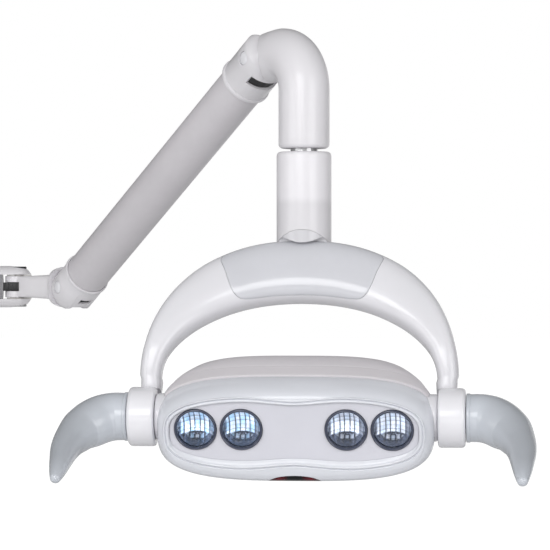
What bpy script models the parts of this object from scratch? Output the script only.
"""Dental operating light: fixed-arm fitting, elbow link, spring-balanced arm,
gooseneck, swivelling yoke and a tilting lamp head with four reflector lamps.

Metres, +Z up. The origin is the centre of the end face of the fixed-arm
socket's core, +X points along the fixed arm, and the lamp faces -Y.

Pieces carry a material. Shapes without one are hidden tools ("cut_", "tool_")
that the boolean modifiers subtract, add or intersect.
"""

import math

import bmesh
import bpy
import numpy as np
from mathutils import Matrix, Vector

for old in list(bpy.data.objects):
    bpy.data.objects.remove(old, do_unlink=True)

# --------------------------------------------------------- shared dimensions
GAP = 0.0003            # running gap between neighbouring pieces
FACET_SHARE = 0.60      # share of the stated facet counts that round pieces are built with
ORIGIN = (0, 0, 0)
SIDES = ((-1, "left"), (1, "right"))

# chain of pivots
SWING_X = 0.075         # vertical swing axis, from the socket's end face
LINK_LENGTH = 0.135     # swing axis to tilt axis
LINK_YAW = -50.0        # link direction at rest, degrees from +X
ARM_LENGTH = 0.4589     # tilt axis to upper pivot
ARM_RISE = 31.97        # arm elevation at rest, degrees
NECK_REACH = 0.074      # upper pivot to the neck's swivel axis
TIE_DROP = 0.013        # tie-rod pivots sit this far below the arm pivots
TIE_PIVOT = (0, 0, -TIE_DROP)

# heights of the neck datum, and the head's tilt axis measured from it
DATUM_Z = 0.0141
HUB_Y = -0.0865
HUB_Z = -0.1437
HEAD_TILT = 16.0        # degrees, face turned down at rest

# pivots shared by the link, the arm and the gooseneck
PIVOT_R = 0.0050        # pivot holes
TIE_HOLE_R = 0.0030
DOME_R = 0.0252         # lower hood, across the tilt axis
DOME_UP_R = 0.0267      # upper hood
CHEEK = 0.0105          # half width of the slot between the hood's cheeks
TONGUE = 0.0098         # half width of the tongue that runs in that slot
EYE_R = 0.0125          # rounded end of the tongue

# ----------------------------------------------------------------- materials


def material(name, rgb, roughness, metallic=0.0, transmission=0.0):
    mat = bpy.data.materials.new(name)
    mat.use_nodes = True
    inputs = mat.node_tree.nodes["Principled BSDF"].inputs
    inputs["Base Color"].default_value = (*rgb, 1.0)
    inputs["Roughness"].default_value = roughness
    inputs["Metallic"].default_value = metallic
    inputs["Transmission Weight"].default_value = transmission
    return mat


WHITE = material("white_enamel", (0.80, 0.79, 0.81), roughness=0.30)
GREY = material("grey_enamel", (0.55, 0.54, 0.56), roughness=0.38)
INLAY = material("inlay_grey", (0.62, 0.64, 0.66), roughness=0.35)
GRIP = material("grip_grey", (0.58, 0.62, 0.66), roughness=0.32)
STEEL = material("steel", (0.55, 0.55, 0.56), roughness=0.30, metallic=1.0)
ALLOY = material("alloy", (0.68, 0.69, 0.70), roughness=0.35, metallic=1.0)
BLACK = material("black_polymer", (0.02, 0.02, 0.022), roughness=0.50)
NYLON = material("bearing_polymer", (0.72, 0.70, 0.66), roughness=0.45)
NAVY = material("lamp_ring_navy", (0.05, 0.06, 0.09), roughness=0.25)
MIRROR = material("reflector", (0.85, 0.88, 0.92), roughness=0.06, metallic=1.0)
CLEAR = material("clear_cover", (0.95, 0.97, 1.0), roughness=0.02, transmission=1.0)
SMOKE = material("sensor_window", (0.06, 0.01, 0.015), roughness=0.10)
BOARD = material("circuit_board", (0.03, 0.16, 0.08), roughness=0.45)

# ------------------------------------------------------------ object helpers


def new_collection(name):
    collection = bpy.data.collections.new(name)
    bpy.context.scene.collection.children.link(collection)
    return collection


PARTS = new_collection("dental_operating_light")
TOOLS = new_collection("cutters")


def empty(name, matrix):
    frame = bpy.data.objects.new(name, None)
    PARTS.objects.link(frame)
    frame.empty_display_size = 0.02
    frame.matrix_world = matrix
    return frame


def put(name, mesh, frame, mat, local=None):
    """Place a mesh in a frame: a piece if it has a material, otherwise a hidden tool."""
    obj = bpy.data.objects.new(name, mesh)
    (TOOLS if mat is None else PARTS).objects.link(obj)
    obj.parent = frame
    if local is not None:
        obj.matrix_local = local
    if mat is None:
        obj.hide_render = True
        obj.display_type = "WIRE"
    else:
        mesh.materials.append(mat)
        if mesh.polygons:
            mesh.shade_smooth()
            mesh.set_sharp_from_angle(angle=math.radians(35))
    return obj


def to_mesh(shape, name):
    bmesh.ops.recalc_face_normals(shape, faces=shape.faces)
    mesh = bpy.data.meshes.new(name)
    shape.to_mesh(mesh)
    shape.free()
    return mesh


def placed(axis, centre):
    """Turn +Z onto the given axis of the frame, then move to the centre."""
    if axis == "X":
        rotation = Matrix.Rotation(math.radians(90), 4, "Y")
    elif axis == "Y":
        rotation = Matrix.Rotation(math.radians(-90), 4, "X")
    else:
        rotation = Matrix.Identity(4)
    return Matrix.Translation(centre) @ rotation


def facet_count(stated):
    return stated if stated <= 12 else max(12, 2 * round(stated * FACET_SHARE / 2))


def turned(name, profile, frame, axis, facets, mat=None, centre=ORIGIN):
    """Screw of an outline of (radius, height) points, given down its outer side."""
    mesh = bpy.data.meshes.new(name)
    edges = [(i, i + 1) for i in range(len(profile) - 1)]
    if profile[0][0] > 1e-6:
        edges.append((len(profile) - 1, 0))
    mesh.from_pydata([(radius, 0.0, z) for radius, z in profile], edges, [])
    obj = put(name, mesh, frame, mat, placed(axis, centre))
    screw = obj.modifiers.new("turn", "SCREW")
    screw.angle = 2 * math.pi
    screw.steps = screw.render_steps = facet_count(facets)
    screw.use_merge_vertices = True
    screw.merge_threshold = 0.00001
    screw.use_smooth_shade = True
    return obj


def ring(name, outer, inner, extent, frame, axis, facets, mat=None):
    low, high = extent
    profile = [(inner, high), (outer, high), (outer, low), (inner, low)]
    return turned(name, profile, frame, axis, facets, mat)


def cylinder(name, radius, extent, frame, axis, facets, mat=None, centre=ORIGIN):
    """Solid cylinder, its extent given as (low, high) along the axis."""
    low, high = extent
    shape = bmesh.new()
    bmesh.ops.create_cone(shape, cap_ends=True, segments=facet_count(facets),
                          radius1=radius, radius2=radius, depth=high - low)
    bmesh.ops.translate(shape, verts=shape.verts, vec=(0, 0, (low + high) / 2))
    return put(name, to_mesh(shape, name), frame, mat, placed(axis, centre))


def cross_cylinder(name, radius, half, frame, facets, mat=None, centre=ORIGIN):
    """Cylinder along the frame's Y, reaching equally far to both sides."""
    return cylinder(name, radius, (-half, half), frame, "Y", facets, mat, centre)


def box(name, low, high, frame, mat=None):
    shape = bmesh.new()
    bmesh.ops.create_cube(shape, size=1.0)
    for vert in shape.verts:
        for i in range(3):
            vert.co[i] = low[i] if vert.co[i] < 0 else high[i]
    return put(name, to_mesh(shape, name), frame, mat)


def loft(name, rings, frame, mat=None, cap_first=True, cap_last=True):
    shape = bmesh.new()
    rows = [[shape.verts.new(point) for point in points] for points in rings]
    count = len(rows[0])
    for near, far in zip(rows, rows[1:]):
        for i in range(count):
            j = (i + 1) % count
            shape.faces.new((near[i], near[j], far[j], far[i]))
    if cap_first:
        shape.faces.new(list(reversed(rows[0])))
    if cap_last:
        shape.faces.new(rows[-1])
    return put(name, to_mesh(shape, name), frame, mat)


def boolean(obj, tool, operation):
    modifier = obj.modifiers.new(operation.lower(), "BOOLEAN")
    modifier.operation = operation
    modifier.solver = "EXACT"
    modifier.object = tool


def cut(obj, *tools):
    for tool in tools:
        boolean(obj, tool, "DIFFERENCE")


def join(obj, *tools):
    for tool in tools:
        boolean(obj, tool, "UNION")


# ---------------------------------------------------------- outline helpers
def mix(start, end, share):
    return start + (end - start) * share


def span(side, near, far):
    """(low, high) of an extent, mirrored when side is -1."""
    return tuple(sorted((side * near, side * far)))


def mirrored(profile, side=-1):
    """Profile of (radius, height) points, turned end for end when side is -1."""
    return profile if side > 0 else [(radius, -z) for radius, z in reversed(profile)]


def power(value, exponent):
    """Sine or cosine bent towards a superellipse of the given exponent."""
    return math.copysign(abs(value) ** (2.0 / exponent), value)


def superellipse(half_width, half_height, exponent, count):
    angles = [2 * math.pi * (i + 0.5) / count for i in range(count)]
    return [(half_width * power(math.cos(angle), exponent),
             half_height * power(math.sin(angle), exponent)) for angle in angles]


def circle(centre, radius, first, second, count):
    """Points round a centre, in the plane of two unit vectors."""
    angles = [2 * math.pi * i / count for i in range(count)]
    return [centre + radius * (first * math.cos(angle) + second * math.sin(angle))
            for angle in angles]


# -------------------------------------------------------------------- frames
yaw = math.radians(LINK_YAW)
rise = math.radians(ARM_RISE)
UP = Vector((0, 0, 1))
heading = Vector((math.cos(yaw), math.sin(yaw), 0))
arm_direction = heading * math.cos(rise) + UP * math.sin(rise)
swing_point = Vector((SWING_X, 0, 0))
tilt_point = swing_point + heading * LINK_LENGTH
upper_point = tilt_point + arm_direction * ARM_LENGTH
neck_point = upper_point + heading * NECK_REACH

turn = Matrix.Rotation(yaw, 4, "Z")
lean = Matrix.Rotation(-rise, 4, "Y")
hub_place = Matrix.Translation((neck_point.x, neck_point.y + HUB_Y, DATUM_Z + HUB_Z))
ROOT = empty("frame_fixed_arm", Matrix.Identity(4))
SWING = empty("axis_swing", Matrix.Translation(swing_point) @ turn)
LINK_HEAD = empty("frame_link_head", Matrix.Translation(tilt_point) @ turn)
ARM = empty("axis_tilt", Matrix.Translation(tilt_point) @ turn @ lean)
ARM_HEAD = empty("frame_arm_head", Matrix.Translation(upper_point) @ turn @ lean)
TIE = empty("axis_tie_rod", Matrix.Translation(tilt_point - UP * TIE_DROP) @ turn @ lean)
GOOSE = empty("axis_upper_pivot", Matrix.Translation(upper_point) @ turn)
NECK = empty("axis_neck_swivel", Matrix.Translation((neck_point.x, neck_point.y, DATUM_Z)))
HUB = empty("axis_head_tilt", hub_place)
HEAD = empty("frame_head", hub_place @ Matrix.Rotation(math.radians(HEAD_TILT), 4, "X"))

# --------------------------------------------------------- fixed-arm fitting
SOCKET_R = 0.0250
SOCKET_END = SWING_X + 0.0168
SOCKET_BORE = 0.0195    # recess for the fixed arm's tube, round a solid core
SOCKET_CORE = 0.0150
SOCKET_DEPTH = 0.044
FORK_GAP = 0.0147       # half height of the fork's opening
FORK_BACK = 0.0236      # swing axis back to the bottom of the opening
SWING_PIN_R = 0.0060
SWING_SEAT_R = 0.0093   # recesses for the pin's head and cap
SWING_SEAT_Z = 0.0215
SWING_CAP_Z = 0.0218    # underside of the cap

# radius, height
SOCKET_PROFILE = [
    (0.0, SOCKET_END), (0.0120, SOCKET_END - 0.0006), (0.0190, SOCKET_END - 0.0054),
    (0.0236, SOCKET_END - 0.0120), (SOCKET_R, SOCKET_END - 0.0200), (SOCKET_R, 0.0),
    (0.0, 0.0)]
SWING_CAP_PROFILE = [(0.0, 0.0243), (0.0080, 0.0243), (0.0088, 0.0236),
                     (0.0088, SWING_CAP_Z), (0.0, SWING_CAP_Z)]


def fixed_arm_socket():
    centre = (SWING_X, 0, 0)
    socket = turned("fixed_arm_socket", SOCKET_PROFILE, ROOT, "X", 40, WHITE)
    cut(socket,
        ring("cut_socket_recess", SOCKET_BORE, SOCKET_CORE, (-0.01, SOCKET_DEPTH),
             ROOT, "X", 32),
        box("cut_fork_gap", (SWING_X - FORK_BACK, -0.04, -FORK_GAP),
            (SWING_X + 0.04, 0.04, FORK_GAP), ROOT),
        cylinder("cut_swing_pin", SWING_PIN_R + 0.00005, (-0.04, 0.04), ROOT, "Z", 24,
                 centre=centre),
        cylinder("cut_swing_cap_top", SWING_SEAT_R, (SWING_SEAT_Z, 0.04), ROOT, "Z", 24,
                 centre=centre),
        cylinder("cut_swing_head", SWING_SEAT_R, (-0.04, -SWING_SEAT_Z), ROOT, "Z", 24,
                 centre=centre))


def swing_pin():
    """Pin with a head below, shaped like the cap above."""
    shank = SWING_PIN_R - GAP
    profile = [(0.0, 0.0212), (SWING_PIN_R - 0.0008, 0.0212), (shank, 0.0206),
               (shank, -SWING_CAP_Z)] + mirrored(SWING_CAP_PROFILE)[1:]
    turned("swing_pin", profile, ROOT, "Z", 24, STEEL, (SWING_X, 0, 0))
    turned("swing_pin_cap", SWING_CAP_PROFILE, ROOT, "Z", 24, BLACK, (SWING_X, 0, 0))


# ---------------------------------------------------------------- elbow link
BUSH_THICKNESS = 0.0012
LINK_HALF = FORK_GAP - BUSH_THICKNESS - 2 * GAP     # half height of the link in the fork

# x from the swing axis, half width, half height, superellipse exponent
LINK_NECK = (
    (0.0090, 0.0112, LINK_HALF - 0.0002, 8),
    (0.0200, 0.0112, LINK_HALF - 0.0002, 6),
    (0.0860, 0.0116, 0.0148, 5),
    (0.0930, 0.0135, 0.0160, 4.5),
    (0.1000, 0.0178, 0.0192, 4),
    (0.1070, 0.0215, 0.0218, 3.6),
    (0.1240, 0.0246, 0.0243, 3.4),
)


def tie_lug(name, frame):
    return cross_cylinder(name, 0.0072, TONGUE - 0.0001, frame, 24, centre=TIE_PIVOT)


def tongue_cutters(names, frame, side):
    """Tie-rod slots below and at the tip of a tongue, and its two pin holes.

    side is +1 when the tip points to +X, -1 when it points to -X.
    """
    low_name, tip_name, pivot_name, tie_name = names
    low_start, low_end = span(side, -0.0078, 0.030)
    tip_start, tip_end = span(side, 0.0003, 0.031)
    return (
        box(low_name, (low_start, -0.0042, -0.0300), (low_end, 0.0042, -0.0056), frame),
        box(tip_name, (tip_start, -0.00425, -0.0301), (tip_end, 0.00425, 0.0300), frame),
        cross_cylinder(pivot_name, PIVOT_R, 0.03, frame, 24),
        cross_cylinder(tie_name, TIE_HOLE_R, 0.03, frame, 16, centre=TIE_PIVOT))


def elbow_link():
    """Round eye in the fork, flaring neck, and a tongue for the tilt axis."""
    link = cylinder("elbow_link", 0.0170, (-LINK_HALF, LINK_HALF), SWING, "Z", 40, WHITE)
    rings = [[Vector((x, y, z)) for y, z in superellipse(half_width, half_height, exponent, 20)]
             for x, half_width, half_height, exponent in LINK_NECK]
    neck = loft("tool_link_neck", rings, SWING)
    # the neck ends in a cup that clears the lower hood
    cut(neck,
        cross_cylinder("cut_link_cup", DOME_R + 0.0015, 0.05, LINK_HEAD, 48),
        box("cut_link_trim", (-0.0172, -0.05, -0.05), (0.05, 0.05, 0.05), LINK_HEAD))
    join(link, neck,
         box("tool_link_tongue", (-0.0300, -TONGUE, -0.0125), (0.0, TONGUE, 0.0115), LINK_HEAD),
         cross_cylinder("tool_link_eye", EYE_R, TONGUE, LINK_HEAD, 28),
         tie_lug("tool_link_lug", LINK_HEAD))
    cut(link,
        cylinder("cut_link_swing", SWING_PIN_R + 0.0001, (-0.04, 0.04), SWING, "Z", 24),
        box("cut_brake_pocket", (SWING_X - 0.0178, -0.030, -0.0055),
            (SWING_X + 0.0035, -0.0090, 0.0055), ROOT),
        *tongue_cutters(("cut_tie_slot_low", "cut_tie_slot_front", "cut_link_tilt",
                         "cut_link_tie"), LINK_HEAD, 1))


def swing_bushes():
    for side, name in ((1, "swing_bush_upper"), (-1, "swing_bush_lower")):
        extent = span(side, FORK_GAP - GAP, FORK_GAP - GAP - BUSH_THICKNESS)
        ring(name, 0.0150, SWING_PIN_R + GAP, extent, SWING, "Z", 28, NYLON)


def brake_block():
    block = box("brake_block", (SWING_X - 0.0172, -0.0152, -0.0051),
                (SWING_X + 0.0031, -0.0094, 0.0051), ROOT, BLACK)
    bevel = block.modifiers.new("round", "BEVEL")
    bevel.width = 0.0006
    bevel.segments = 1
    bevel.limit_method = "ANGLE"


def pivot_pins():
    """A pivot pin and a tie-rod pin at each end of the arm."""
    end = [(0.0, 0.0232), (PIVOT_R - 0.0008, 0.0232), (PIVOT_R - GAP, 0.0226)]
    for name, tie_name, frame in (("tilt_pin", "tie_pin_lower", LINK_HEAD),
                                  ("upper_pivot_pin", "tie_pin_upper", GOOSE)):
        turned(name, end + mirrored(end), frame, "Y", 24, STEEL)
        cross_cylinder(tie_name, TIE_HOLE_R - GAP, TONGUE - 0.0004, frame, 16, STEEL,
                       TIE_PIVOT)


# ----------------------------------------------------------------------- arm
TUBE_R = 0.0250
TUBE_BORE = TUBE_R - 0.0025
TUBE_START = 0.0150     # tilt axis to the tube
TUBE_STOP = 0.0205      # tube to the upper pivot
HOOD_HALF = 0.0320      # hood's barrel, half length before it is trimmed round
CAVITY_R = 0.0223
CAP_HOLE_R = 0.0074
CAP_HOLE_Y = 0.0238     # floor of the cap recesses

# radius, distance from the arm's middle plane
PIVOT_CAP_PROFILE = [(0.0, 0.0272), (0.0045, 0.0270), (0.0071, 0.0258), (0.0071, 0.0241),
                     (0.0, 0.0241)]


def hood(name, frame, side, dome_r, lip_r, sleeve_r, sleeve_end, tube_start, window):
    """Pivot hood: a domed barrel across the arm joined to the sleeve over the tube.

    side is +1 when the tube leaves towards +X, -1 when it leaves towards -X.
    window is the underside opening's near end, far end and half width.
    """
    body = cross_cylinder(name, dome_r, HOOD_HALF, frame, 60, WHITE)
    trim_r = sleeve_r + 0.0001
    trim = turned("tool_trim_" + name, [(0.0, 0.0400), (trim_r, 0.0400), (trim_r, -0.0400),
                                        (0.0, -0.0400)], frame, "X", 54)
    boolean(body, trim, "INTERSECT")
    sleeve = [(0.0, sleeve_end), (lip_r, sleeve_end), (lip_r, sleeve_end - 0.0022),
              (sleeve_r, sleeve_end - 0.0032), (sleeve_r, 0.0006), (0.0, 0.0006)]
    join(body, turned("tool_sleeve_" + name, mirrored(sleeve, side), frame, "X", 54))

    bore_start = tube_start - 0.0005
    open_start, open_end = span(side, -0.045, -0.0052)
    window_start, window_end = span(side, window[0], window[1])
    cut(body,
        cylinder("cut_bore_" + name, TUBE_R + GAP, span(side, bore_start, sleeve_end + 0.01),
                 frame, "X", 40),
        cylinder("cut_throat_" + name, 0.0212, span(side, 0.0085, bore_start + 0.001),
                 frame, "X", 40),
        cross_cylinder("cut_cavity_" + name, CAVITY_R, CHEEK, frame, 40),
        box("cut_opening_" + name, (open_start, -CHEEK + 0.0001, -0.045),
            (open_end, CHEEK - 0.0001, 0.045), frame),
        cross_cylinder("cut_pin_" + name, PIVOT_R, 0.0235, frame, 24),
        cylinder("cut_caps_" + name, CAP_HOLE_R, (CAP_HOLE_Y, 0.04), frame, "Y", 28),
        cylinder("cut_caps2_" + name, CAP_HOLE_R, (-0.04, -CAP_HOLE_Y), frame, "Y", 28),
        box("cut_window_" + name, (window_start, -window[2], -0.04),
            (window_end, window[2], -0.0175), frame))


def arm_shell():
    ring("arm_tube", TUBE_R, TUBE_BORE, (TUBE_START, ARM_LENGTH - TUBE_STOP),
         ARM, "X", 40, GREY)
    # the lower collar is slimmer
    hood("lower_collar", ARM, 1, dome_r=DOME_R, lip_r=0.0272, sleeve_r=0.0263,
         sleeve_end=0.0300, tube_start=TUBE_START, window=(0.0035, 0.0115, 0.0075))
    hood("upper_collar", ARM_HEAD, -1, dome_r=DOME_UP_R, lip_r=0.0284, sleeve_r=0.0270,
         sleeve_end=0.0420, tube_start=TUBE_STOP, window=(0.0060, 0.0180, 0.0195))
    for frame, base in ((ARM, "tilt_cap"), (ARM_HEAD, "upper_cap")):
        for side, tag in ((-1, "near"), (1, "far")):
            turned(f"{base}_{tag}", mirrored(PIVOT_CAP_PROFILE, side), frame, "Y", 28, WHITE)


# ----------------------------------- balance spring and fittings in the tube
SPRING_Z = 0.0075       # the spring's axis lies above the tube's
COIL_R = 0.0095
COIL_START, COIL_END = 0.0920, 0.2880
COIL_TURNS = 10
POINTS_PER_TURN = 8
WIRE_R = 0.0013


def balance_spring():
    curve = bpy.data.curves.new("spring_wire", "CURVE")
    curve.dimensions = "3D"
    spline = curve.splines.new("POLY")
    steps = COIL_TURNS * POINTS_PER_TURN
    spline.points.add(steps)
    for i in range(steps + 1):
        share = i / steps
        angle = 2 * math.pi * COIL_TURNS * share
        spline.points[i].co = (mix(COIL_START, COIL_END, share), COIL_R * math.cos(angle),
                               SPRING_Z + COIL_R * math.sin(angle), 1.0)
    curve.bevel_depth = WIRE_R
    curve.bevel_resolution = 0
    curve.use_fill_caps = True

    wire = bpy.data.objects.new("balance_spring_curve", curve)
    PARTS.objects.link(wire)
    wire.parent = ARM
    bpy.context.view_layer.update()
    depsgraph = bpy.context.evaluated_depsgraph_get()
    shape = bmesh.new()
    shape.from_mesh(bpy.data.meshes.new_from_object(wire.evaluated_get(depsgraph)))
    bmesh.ops.remove_doubles(shape, verts=shape.verts, dist=0.00001)
    bpy.data.objects.remove(wire, do_unlink=True)
    put("balance_spring", to_mesh(shape, "balance_spring"), ARM, STEEL)


def on_spring_axis(name, radius, extent, facets, mat=None):
    return cylinder(name, radius, extent, ARM, "X", facets, mat, (0, 0, SPRING_Z))


def spring_fittings():
    seat = on_spring_axis("spring_seat", 0.0128, (0.2895, 0.2945), 28, STEEL)
    cut(seat, on_spring_axis("cut_seat", 0.0032, (0.28, 0.31), 16))
    on_spring_axis("spring_rod", 0.0028, (0.0450, 0.3080), 16, STEEL)
    nut = on_spring_axis("spring_nut", 0.0065, (0.2950, 0.3020), 6, STEEL)
    cut(nut, on_spring_axis("cut_nut", 0.0031, (0.28, 0.31), 16))
    anchor = cylinder("spring_anchor", TUBE_BORE - GAP, (0.0780, 0.0900), ARM, "X", 32, ALLOY)
    cut(anchor,
        on_spring_axis("cut_anchor_rod", 0.0031, (0.07, 0.10), 16),
        box("cut_anchor_tie", (0.07, -0.0060, -0.03), (0.10, 0.0060, -0.0030), ARM))


# ------------------------------------------------------------------- tie rod
TIE_ROD_R = 0.0030
TIE_EYE_R = 0.0066
TIE_EYE_HALF = 0.0036


def tie_rod():
    far_end = (ARM_LENGTH, 0, 0)
    rod = cylinder("tie_rod", TIE_ROD_R, (0.0030, ARM_LENGTH - 0.0030), TIE, "X", 16, STEEL)
    join(rod,
         cross_cylinder("tool_tie_eye_low", TIE_EYE_R, TIE_EYE_HALF, TIE, 24),
         cross_cylinder("tool_tie_eye_top", TIE_EYE_R, TIE_EYE_HALF, TIE, 24, centre=far_end))
    cut(rod,
        cross_cylinder("cut_tie_low", TIE_HOLE_R, 0.01, TIE, 16),
        cross_cylinder("cut_tie_top", 0.0034, 0.01, TIE, 16, centre=far_end))


# ----------------------------------------------------------------- gooseneck
GOOSE_R = 0.0265
GOOSE_BORE = GOOSE_R - 0.0030
BEND_R = 0.0400
BEND_STEPS = 7
STRAIGHT = NECK_REACH - BEND_R
STUB_RISE = 0.0037      # the tube climbs this much from the pivot to its bend
GOOSE_FOOT = 0.1314     # foot of the tube above the neck datum
FOOT_WALL = 0.0040      # thickness of the foot's floor
GOOSE_BOTTOM = GOOSE_FOOT + DATUM_Z - upper_point.z
SPINDLE_R = 0.0140


def goose_rings(start, radius, foot):
    """Rings from the stub through the bend down to the foot, given as (z, radius)."""
    # x, z, direction turned down from horizontal
    stations = [(start, STUB_RISE * start / STRAIGHT, 0.0),
                (STRAIGHT * 0.96, STUB_RISE * 0.96, 0.0)]
    for i in range(1, BEND_STEPS + 1):
        angle = math.radians(90) * i / BEND_STEPS
        stations.append((STRAIGHT + BEND_R * math.sin(angle),
                         STUB_RISE - BEND_R + BEND_R * math.cos(angle), angle))
    x_axis, y_axis = Vector((1, 0, 0)), Vector((0, 1, 0))
    rings = [circle(Vector((x, 0, z)), radius,
                    Vector((math.sin(angle), 0, math.cos(angle))), y_axis, 24)
             for x, z, angle in stations]
    rings += [circle(Vector((NECK_REACH, 0, z)), foot_r, x_axis, y_axis, 24)
              for z, foot_r in foot]
    return rings


def gooseneck_tube():
    foot = ((GOOSE_BOTTOM + 0.0045, GOOSE_R), (GOOSE_BOTTOM + 0.0012, GOOSE_R - 0.0014),
            (GOOSE_BOTTOM, GOOSE_R - 0.0050))
    bore_foot = ((GOOSE_BOTTOM + FOOT_WALL, GOOSE_BORE),)
    tube = loft("gooseneck_tube", goose_rings(0.0068, GOOSE_R, foot), GOOSE, WHITE)
    cut(tube,
        loft("cut_goose_bore", goose_rings(-0.0100, GOOSE_BORE, bore_foot), GOOSE),
        cross_cylinder("cut_goose_saddle", DOME_UP_R + 0.0009, 0.05, GOOSE, 60),
        box("cut_goose_relief", (-0.01, -0.0300, -0.0400), (0.0160, 0.0300, -0.0195), GOOSE),
        cylinder("cut_goose_exit", SPINDLE_R + 0.0006,
                 (GOOSE_BOTTOM - 0.01, GOOSE_BOTTOM + 0.02), GOOSE, "Z", 32,
                 centre=(NECK_REACH, 0, 0)))


def knuckle():
    """Tongue in the upper hood, with a round plug that fits the gooseneck's bore."""
    tongue = cross_cylinder("knuckle_tongue", EYE_R, TONGUE, GOOSE, 28, ALLOY)
    join(tongue,
         tie_lug("tool_knuckle_lug", GOOSE),
         box("tool_knuckle_neck", (0.0, -TONGUE, -0.0115), (0.0316, TONGUE, 0.0115), GOOSE),
         cylinder("tool_knuckle_plug", GOOSE_BORE - 0.0006, (0.0276, 0.0326), GOOSE, "X", 32,
                  centre=(0, 0, 0.0033)))
    cut(tongue, *tongue_cutters(("cut_knuckle_low", "cut_knuckle_back", "cut_knuckle_pin",
                                 "cut_knuckle_tie"), GOOSE, -1))


# ---------------------------- neck swivel, heights measured from the neck datum
NECK_R = 0.0285
NECK_BORE = NECK_R - 0.0040
BUSH_FLOOR = GOOSE_FOOT + FOOT_WALL
BUSH_TOP = BUSH_FLOOR + 0.0120
BUSH_CHAMFER = 0.0006
GROOVE_R = 0.0122       # spindle's groove for the clip
SADDLE_R, SADDLE_Z = 0.0330, 0.0140     # round top of the yoke, across Y


def swivel():
    outer, inner = GOOSE_BORE - GAP, SPINDLE_R + GAP
    low, high = BUSH_FLOOR + GAP, BUSH_TOP
    turned("swivel_bush", [
        (inner, high), (outer - BUSH_CHAMFER, high), (outer, high - BUSH_CHAMFER),
        (outer, low + BUSH_CHAMFER), (outer - BUSH_CHAMFER, low), (inner, low)],
        NECK, "Z", 32, NYLON)
    turned("swivel_spindle", [
        (0.0, BUSH_TOP + 0.0075), (SPINDLE_R - 0.0010, BUSH_TOP + 0.0075),
        (SPINDLE_R, BUSH_TOP + 0.0065), (SPINDLE_R, BUSH_TOP + 0.0030),
        (GROOVE_R, BUSH_TOP + 0.0030), (GROOVE_R, BUSH_TOP + 0.0003),
        (SPINDLE_R, BUSH_TOP + 0.0003), (SPINDLE_R, 0.1197), (NECK_BORE - GAP, 0.1197),
        (NECK_BORE - GAP, 0.1080), (0.0, 0.1080)], NECK, "Z", 32, STEEL)
    ring("spindle_clip", 0.0178, GROOVE_R + GAP, (BUSH_TOP + 0.0006, BUSH_TOP + 0.0027),
         NECK, "Z", 32, STEEL)


def neck_sleeve():
    sleeve = turned("neck_sleeve", [
        (0.0, 0.1280), (NECK_BORE, 0.1280), (NECK_R - 0.0012, 0.1268),
        (NECK_R, 0.1240), (NECK_R, 0.0100), (0.0, 0.0100)], NECK, "Z", 48, WHITE)
    cut(sleeve,
        cross_cylinder("cut_neck_saddle", SADDLE_R + 0.0009, 0.06, NECK, 48,
                       centre=(0, 0, SADDLE_Z)),
        cylinder("cut_neck_under", NECK_R + 0.01, (-0.02, SADDLE_Z), NECK, "Z", 32),
        cylinder("cut_neck_bore", NECK_BORE, (-0.02, 0.1200), NECK, "Z", 40),
        cylinder("cut_neck_exit", SPINDLE_R + GAP, (0.10, 0.14), NECK, "Z", 32))


# ---------------------------------------------------------------------- yoke
HUB_R = 0.0300
HUB_IN = 0.1428
HUB_OUT = 0.1706
SHAFT_R = 0.0110
HUB_BUSH_R = SHAFT_R + 0.0025
BOSS_R = 0.0238

FOOT_Z = -0.1090        # where the arch's legs start
ARCH_OUTER = (0.1630, 0.1420, 2.2)      # half span, height, exponent
ARCH_INNER = (0.1410, 0.0814, 2.1)
ARCH_DEPTH = (0.0150, 0.0205)           # half depth at the feet and at the crown
ARCH_STEPS, ARCH_SEGMENTS = 22, 12
SECTION_EXPONENT = 2.7
# added height, shift in y and scale of the rings that end each leg
LEG_ENDS = ((-0.0085, -0.0020, 0.98), (-0.0180, -0.0070, 0.90))

# height and y of the yoke's edges, which lean forward as they go down
YOKE_LEAN = (
    (-0.1400, -0.0700), (-0.1100, -0.0610), (-0.0900, -0.0600), (-0.0700, -0.0560),
    (-0.0500, -0.0455), (-0.0280, -0.0310), (0.0, -0.0140), (0.0340, -0.0030),
)
LEAN_HEIGHTS, LEAN_Y = zip(*YOKE_LEAN)

COVER_TOP, COVER_LOW = math.radians(30.5), math.radians(26.0)   # half spans of its edges
COVER_START, COVER_END = math.radians(24.0), math.radians(154.0)   # round the section
COVER_ROWS, COVER_COLUMNS = 14, 7


def arch_edge(angle, half_span, height, exponent):
    edge = Vector((half_span * power(math.cos(angle), exponent), 0,
                   FOOT_Z + height * power(abs(math.sin(angle)), exponent)))
    edge.y = np.interp(edge.z, LEAN_HEIGHTS, LEAN_Y)
    return edge


def arch_line(angle):
    """Middle of the arch at an angle, and the vector from there to its outer edge."""
    outer = arch_edge(angle, *ARCH_OUTER)
    inner = arch_edge(angle, *ARCH_INNER)
    return (outer + inner) / 2, (outer - inner) / 2


def arch_section(angle, grow=0.0):
    """Centre and two half axes, outward and forward, of the arch's cross section."""
    middle, radial = arch_line(angle)
    depth = mix(*ARCH_DEPTH, abs(math.sin(angle)) ** 2)
    ahead = arch_line(angle + 0.01)[0] - arch_line(angle - 0.01)[0]
    across = radial.cross(ahead).normalized()
    if across.y > 0:
        across = -across
    return middle, radial.normalized() * (radial.length + grow), across * (depth + grow)


def section_point(section, angle):
    middle, outward, forward = section
    return (middle + outward * power(math.cos(angle), SECTION_EXPONENT)
            + forward * power(math.sin(angle), SECTION_EXPONENT))


def arch_ring(angle):
    section = arch_section(angle)
    return [section_point(section, 2 * math.pi * k / ARCH_SEGMENTS)
            for k in range(ARCH_SEGMENTS)]


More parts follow.
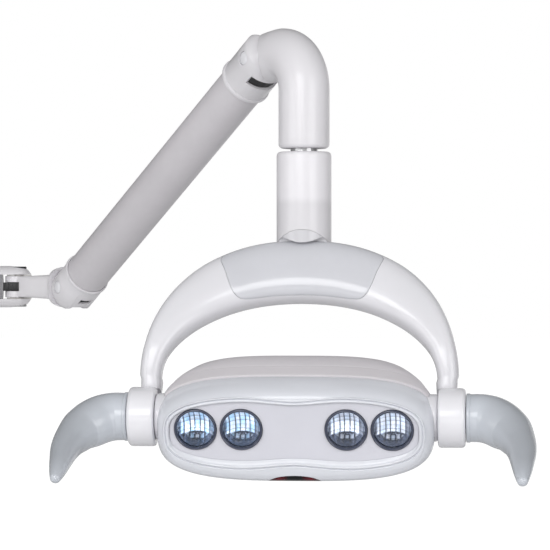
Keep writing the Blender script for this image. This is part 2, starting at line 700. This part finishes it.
def leg_end(base, side):
    centre = sum(base, Vector()) / len(base)
    return [[centre + (point - centre) * scale + Vector((-side * 0.0012 * scale, dy, dz))
             for point in base] for dz, dy, scale in LEG_ENDS]


def cover_patch(margin, grow):
    """Grid over the yoke's front face, wider at its upper edge, corners drawn in."""
    middle, half = (COVER_START + COVER_END) / 2, (COVER_END - COVER_START) / 2
    grid = []
    for i in range(COVER_ROWS + 1):
        u = -1.0 + 2.0 * i / COVER_ROWS
        row = []
        for k in range(COVER_COLUMNS + 1):
            v = -1.0 + 2.0 * k / COVER_COLUMNS
            spread = mix(COVER_TOP, COVER_LOW, (v + 1) / 2)
            along = math.pi / 2 + u * (spread * (1.0 - 0.055 * abs(v) ** 5) + margin)
            around = middle + v * (half * (1.0 - 0.13 * abs(u) ** 9) + margin * 3.5)
            row.append(section_point(arch_section(along, grow), around))
        grid.append(row)
    return grid


def cover_slab(name, margin, grow_outer, grow_inner, mat=None):
    """Closed slab between two cover patches."""
    shape = bmesh.new()
    outer, inner = ([[shape.verts.new(point) for point in row]
                     for row in cover_patch(margin, grow)]
                    for grow in (grow_outer, grow_inner))
    add = shape.faces.new
    for i in range(COVER_ROWS):
        for k in range(COVER_COLUMNS):
            add((outer[i][k], outer[i][k + 1], outer[i + 1][k + 1], outer[i + 1][k]))
            add((inner[i][k], inner[i + 1][k], inner[i + 1][k + 1], inner[i][k + 1]))
    for i in range(COVER_ROWS):
        add((outer[i][0], outer[i + 1][0], inner[i + 1][0], inner[i][0]))
        add((outer[i][-1], inner[i][-1], inner[i + 1][-1], outer[i + 1][-1]))
    for k in range(COVER_COLUMNS):
        add((outer[0][k], inner[0][k], inner[0][k + 1], outer[0][k + 1]))
        add((outer[-1][k], outer[-1][k + 1], inner[-1][k + 1], inner[-1][k]))
    return put(name, to_mesh(shape, name), NECK, mat)


def yoke():
    rings = [arch_ring(math.radians(2) + math.radians(176) * k / ARCH_STEPS)
             for k in range(ARCH_STEPS + 1)]
    rings = list(reversed(leg_end(rings[0], 1))) + rings + leg_end(rings[-1], -1)
    arch = loft("yoke_arch", rings, NECK, WHITE)
    boss_r = NECK_R - 0.0001
    boss = turned("tool_yoke_boss", [
        (0.0, 0.0600), (boss_r, 0.0600), (boss_r, 0.0190), (0.0225, 0.0030),
        (0.0120, -0.0060), (0.0, -0.0060)], NECK, "Z", 46)
    saddle = cross_cylinder("tool_saddle", SADDLE_R, 0.06, NECK, 48, centre=(0, 0, SADDLE_Z))
    boolean(boss, saddle, "INTERSECT")
    join(arch, boss)
    for side, tag in SIDES:
        cut(arch, cylinder(f"cut_arch_hub_{tag}", HUB_R + GAP, span(side, 0.135, 0.20),
                           HUB, "X", 48))
    cut(arch, cover_slab("cut_cover_pocket", 0.0030, 0.0050, -0.0025))
    cover_slab("yoke_cover", 0.0, 0.0006, -0.0021, INLAY)


def hub(side, tag):
    """Hub on the yoke's leg, its bush, and the head's trunnion running in it."""
    hub_profile = [
        (HUB_BUSH_R + GAP, HUB_OUT), (HUB_R - 0.0040, HUB_OUT), (HUB_R - 0.0012, HUB_OUT - 0.0010),
        (HUB_R, HUB_OUT - 0.0035), (HUB_R, HUB_IN + 0.0022),
        (HUB_R - 0.0022, HUB_IN), (HUB_BUSH_R + GAP, HUB_IN)]
    trunnion_profile = [
        (0.0, 0.1850), (SHAFT_R, 0.1850), (SHAFT_R, HUB_IN - GAP),
        (BOSS_R - 0.0012, HUB_IN - GAP), (BOSS_R, HUB_IN - 0.0015), (BOSS_R, 0.1185),
        (0.0, 0.1185)]
    turned(f"hub_{tag}", mirrored(hub_profile, side), HUB, "X", 46, WHITE)
    ring(f"hub_bush_{tag}", HUB_BUSH_R, SHAFT_R + GAP,
         span(side, HUB_IN + GAP, HUB_OUT - GAP), HUB, "X", 32, NYLON)
    turned(f"trunnion_{tag}", mirrored(trunnion_profile, side), HEAD, "X", 40, WHITE)


# ---------------------------------------------------------- lamp head shells
PART_Y = -0.005         # parting plane between the head's shells
SHELL = 0.0025
HEAD_SEGMENTS = 34
HEAD_EXPONENT = 3.3

# y, half width, top z, bottom z
FRONT = (
    (PART_Y, 0.1400, 0.0450, -0.0560), (-0.0160, 0.1400, 0.0447, -0.0572),
    (-0.0260, 0.1392, 0.0432, -0.0575), (-0.0340, 0.1366, 0.0405, -0.0560),
    (-0.0395, 0.1330, 0.0370, -0.0525), (-0.0420, 0.1300, 0.0335, -0.0480),
)
REAR = (
    (PART_Y + 0.0004, 0.1400, 0.0470, -0.0545), (0.0060, 0.1402, 0.0508, -0.0530),
    (0.0200, 0.1396, 0.0538, -0.0500), (0.0320, 0.1362, 0.0540, -0.0450),
    (0.0430, 0.1270, 0.0495, -0.0375), (0.0520, 0.1110, 0.0408, -0.0270),
    (0.0585, 0.0800, 0.0250, -0.0120),
)
# y and inset of the rings round the face opening
FACE_LIP = ((-0.0432, -0.0030), (-0.0426, -0.0006), (-0.0405, 0.0))

WINDOW_HALF = 0.0275
WINDOW_FRONT, WINDOW_BACK = -0.0400, -0.0270


def head_ring(y, half_width, top, bottom):
    centre = (top + bottom) / 2
    return [Vector((x, y, centre + z)) for x, z in
            superellipse(half_width, (top - bottom) / 2, HEAD_EXPONENT, HEAD_SEGMENTS)]


def opening_ring(y, inset):
    """Waisted outline of the face opening."""
    points = []
    for x, z in superellipse(0.1250 - inset, 0.0345 - inset, 3.0, HEAD_SEGMENTS):
        z *= 1.0 - 0.13 * math.exp(-(x / 0.036) ** 2)
        points.append(Vector((x, y, z - 0.0036)))
    return points


def shell(name, rings, mat=None, cap_last=False):
    """Open surface with Solidify, thickness inwards."""
    obj = loft(name, rings, HEAD, mat, cap_first=False, cap_last=cap_last)
    wall = obj.modifiers.new("wall", "SOLIDIFY")
    wall.thickness = SHELL
    wall.offset = -1.0
    wall.use_even_offset = True
    return obj


def head_shells():
    front_rings = [head_ring(*station) for station in FRONT]
    front_rings += [opening_ring(*station) for station in FACE_LIP]
    rear = shell("rear_shell", [head_ring(*station) for station in REAR], WHITE, cap_last=True)
    front = shell("front_shell", front_rings, WHITE)
    for obj in (rear, front):
        for side in (-1, 1):
            cut(obj, cylinder(f"cut_boss_{obj.name}_{side + 1}", BOSS_R + GAP,
                              span(side, 0.1175, 0.16), HEAD, "X", 40))

    # sensor window: a slice of the front shell's own wall, on the underside
    cut(front, box("cut_sensor", (-WINDOW_HALF - GAP, WINDOW_FRONT - GAP, -0.0700),
                   (WINDOW_HALF + GAP, WINDOW_BACK + GAP, -0.0400), HEAD))
    sensor = box("sensor_window", (-WINDOW_HALF, WINDOW_FRONT, -0.0700),
                 (WINDOW_HALF, WINDOW_BACK, -0.0401), HEAD, SMOKE)
    boolean(sensor, shell("tool_sensor_wall", front_rings), "INTERSECT")


# ------------------------------------- face panel, lamps, board and heat sink
LAMP_X = (-0.0985, -0.0525, 0.0525, 0.0985)
LAMP_Z = 0.0004
LAMP_R = 0.0214
FIN_COUNT = 9
FIN_PITCH = 0.021
FIN_HALF = 0.0012

# radius, y
LAMP_RING_PROFILE = [
    (0.0176, -0.0330), (LAMP_R, -0.0330), (LAMP_R, -0.0422), (0.0174, -0.0422),
    (0.0174, -0.0395), (0.0190, -0.0395), (0.0190, -0.0368), (0.0176, -0.0368)]
LENS_PROFILE = [
    (0.0, -0.0371), (0.0187, -0.0371), (0.0187, -0.0392), (0.0171, -0.0392),
    (0.0, -0.0400)]
REFLECTOR_PROFILE = [
    (0.0030, -0.0175), (0.0060, -0.0178), (0.0115, -0.0210), (0.0173, -0.0330),
    (0.0173, -0.0366), (0.0158, -0.0366), (0.0104, -0.0222), (0.0030, -0.0189)]


def lamps():
    """Panel and board, and at each lamp its hole, ring, lens, reflector and LED."""
    panel = loft("face_panel", [opening_ring(-0.0400, 0.0004), opening_ring(-0.0372, 0.0004)],
                 HEAD, WHITE)
    board = box("lamp_board", (-0.1080, -0.0168, -0.0200), (0.1080, -0.0152, 0.0200),
                HEAD, BOARD)
    for number, x in enumerate(LAMP_X, 1):
        centre = (x, 0, LAMP_Z)
        cut(panel, cylinder(f"cut_lamp_{number}", LAMP_R + GAP, (-0.0500, -0.0300), HEAD, "Y",
                            40, centre=centre))
        turned(f"lamp_ring_{number}", LAMP_RING_PROFILE, HEAD, "Y", 36, NAVY, centre)
        turned(f"lamp_lens_{number}", LENS_PROFILE, HEAD, "Y", 32, CLEAR, centre)
        turned(f"reflector_{number}", REFLECTOR_PROFILE, HEAD, "Y", 32, MIRROR, centre)
        join(board, cylinder(f"tool_led_{number}", 0.0024, (-0.0182, -0.0160), HEAD, "Y",
                             16, centre=centre))


def heat_sink():
    """Plate behind the board with upright fins on its rear face."""
    sink = box("heat_sink", (-0.0900, -0.0149, -0.0180), (0.0900, -0.0100, 0.0180),
               HEAD, ALLOY)
    for i in range(FIN_COUNT):
        x = FIN_PITCH * (i - (FIN_COUNT - 1) / 2)
        join(sink, box(f"tool_fin_{i + 1}", (x - FIN_HALF, -0.0110, -0.0178),
                       (x + FIN_HALF, 0.0180, 0.0178), HEAD))


# ------------------------------------------------------------------- handles
HANDLE_ANGLE = math.radians(63)     # forward from straight down
HANDLE_DIR = Vector((0, -math.sin(HANDLE_ANGLE), -math.cos(HANDLE_ANGLE)))
CAP_STATIONS = 5        # the first stations face straight out along X

# distance out along X, distance along HANDLE_DIR, radius
HANDLE_PATH = (
    (HUB_OUT + 0.0006, 0.0, 0.0238), (HUB_OUT + 0.0014, 0.0, 0.0247),
    (0.1748, 0.0, 0.0247), (0.1756, 0.0, 0.0240), (0.1870, 0.0005, 0.0243),
    (0.1975, 0.0060, 0.0243), (0.2070, 0.0180, 0.0234), (0.2135, 0.0290, 0.0212),
    (0.2178, 0.0400, 0.0190), (0.2222, 0.0540, 0.0161), (0.2248, 0.0700, 0.0138),
    (0.2256, 0.0900, 0.0110), (0.2258, 0.1060, 0.0088), (0.2259, 0.1195, 0.0064),
    (0.2260, 0.1280, 0.0042), (0.2260, 0.1315, 0.0018),
)


def handle(side, tag):
    """Round cap over the hub that bends into a tapering grip."""
    centres = [Vector((side * x, 0, 0)) + HANDLE_DIR * reach for x, reach, _ in HANDLE_PATH]
    rings = []
    for i, (_, _, radius) in enumerate(HANDLE_PATH):
        if i < CAP_STATIONS:
            tangent = Vector((side, 0, 0))
        else:
            following = centres[min(len(centres) - 1, i + 1)]
            tangent = (following - centres[i - 1]).normalized()
        first = tangent.cross(HANDLE_DIR).normalized()
        second = first.cross(tangent).normalized()
        rings.append(circle(centres[i], radius, first, second, 16))
    grip = loft(f"handle_{tag}", rings, HUB, GRIP)
    cut(grip, cylinder(f"cut_handle_{tag}", SHAFT_R + GAP, span(side, 0.16, 0.1858),
                       HUB, "X", 32))


# --------------------------------------------------------------------- build
fixed_arm_socket()
swing_pin()
elbow_link()
swing_bushes()
brake_block()
pivot_pins()
arm_shell()
balance_spring()
spring_fittings()
tie_rod()
gooseneck_tube()
knuckle()
swivel()
neck_sleeve()
yoke()
head_shells()
lamps()
heat_sink()
for hand, label in SIDES:
    hub(hand, label)
    handle(hand, label)

bpy.context.view_layer.update()
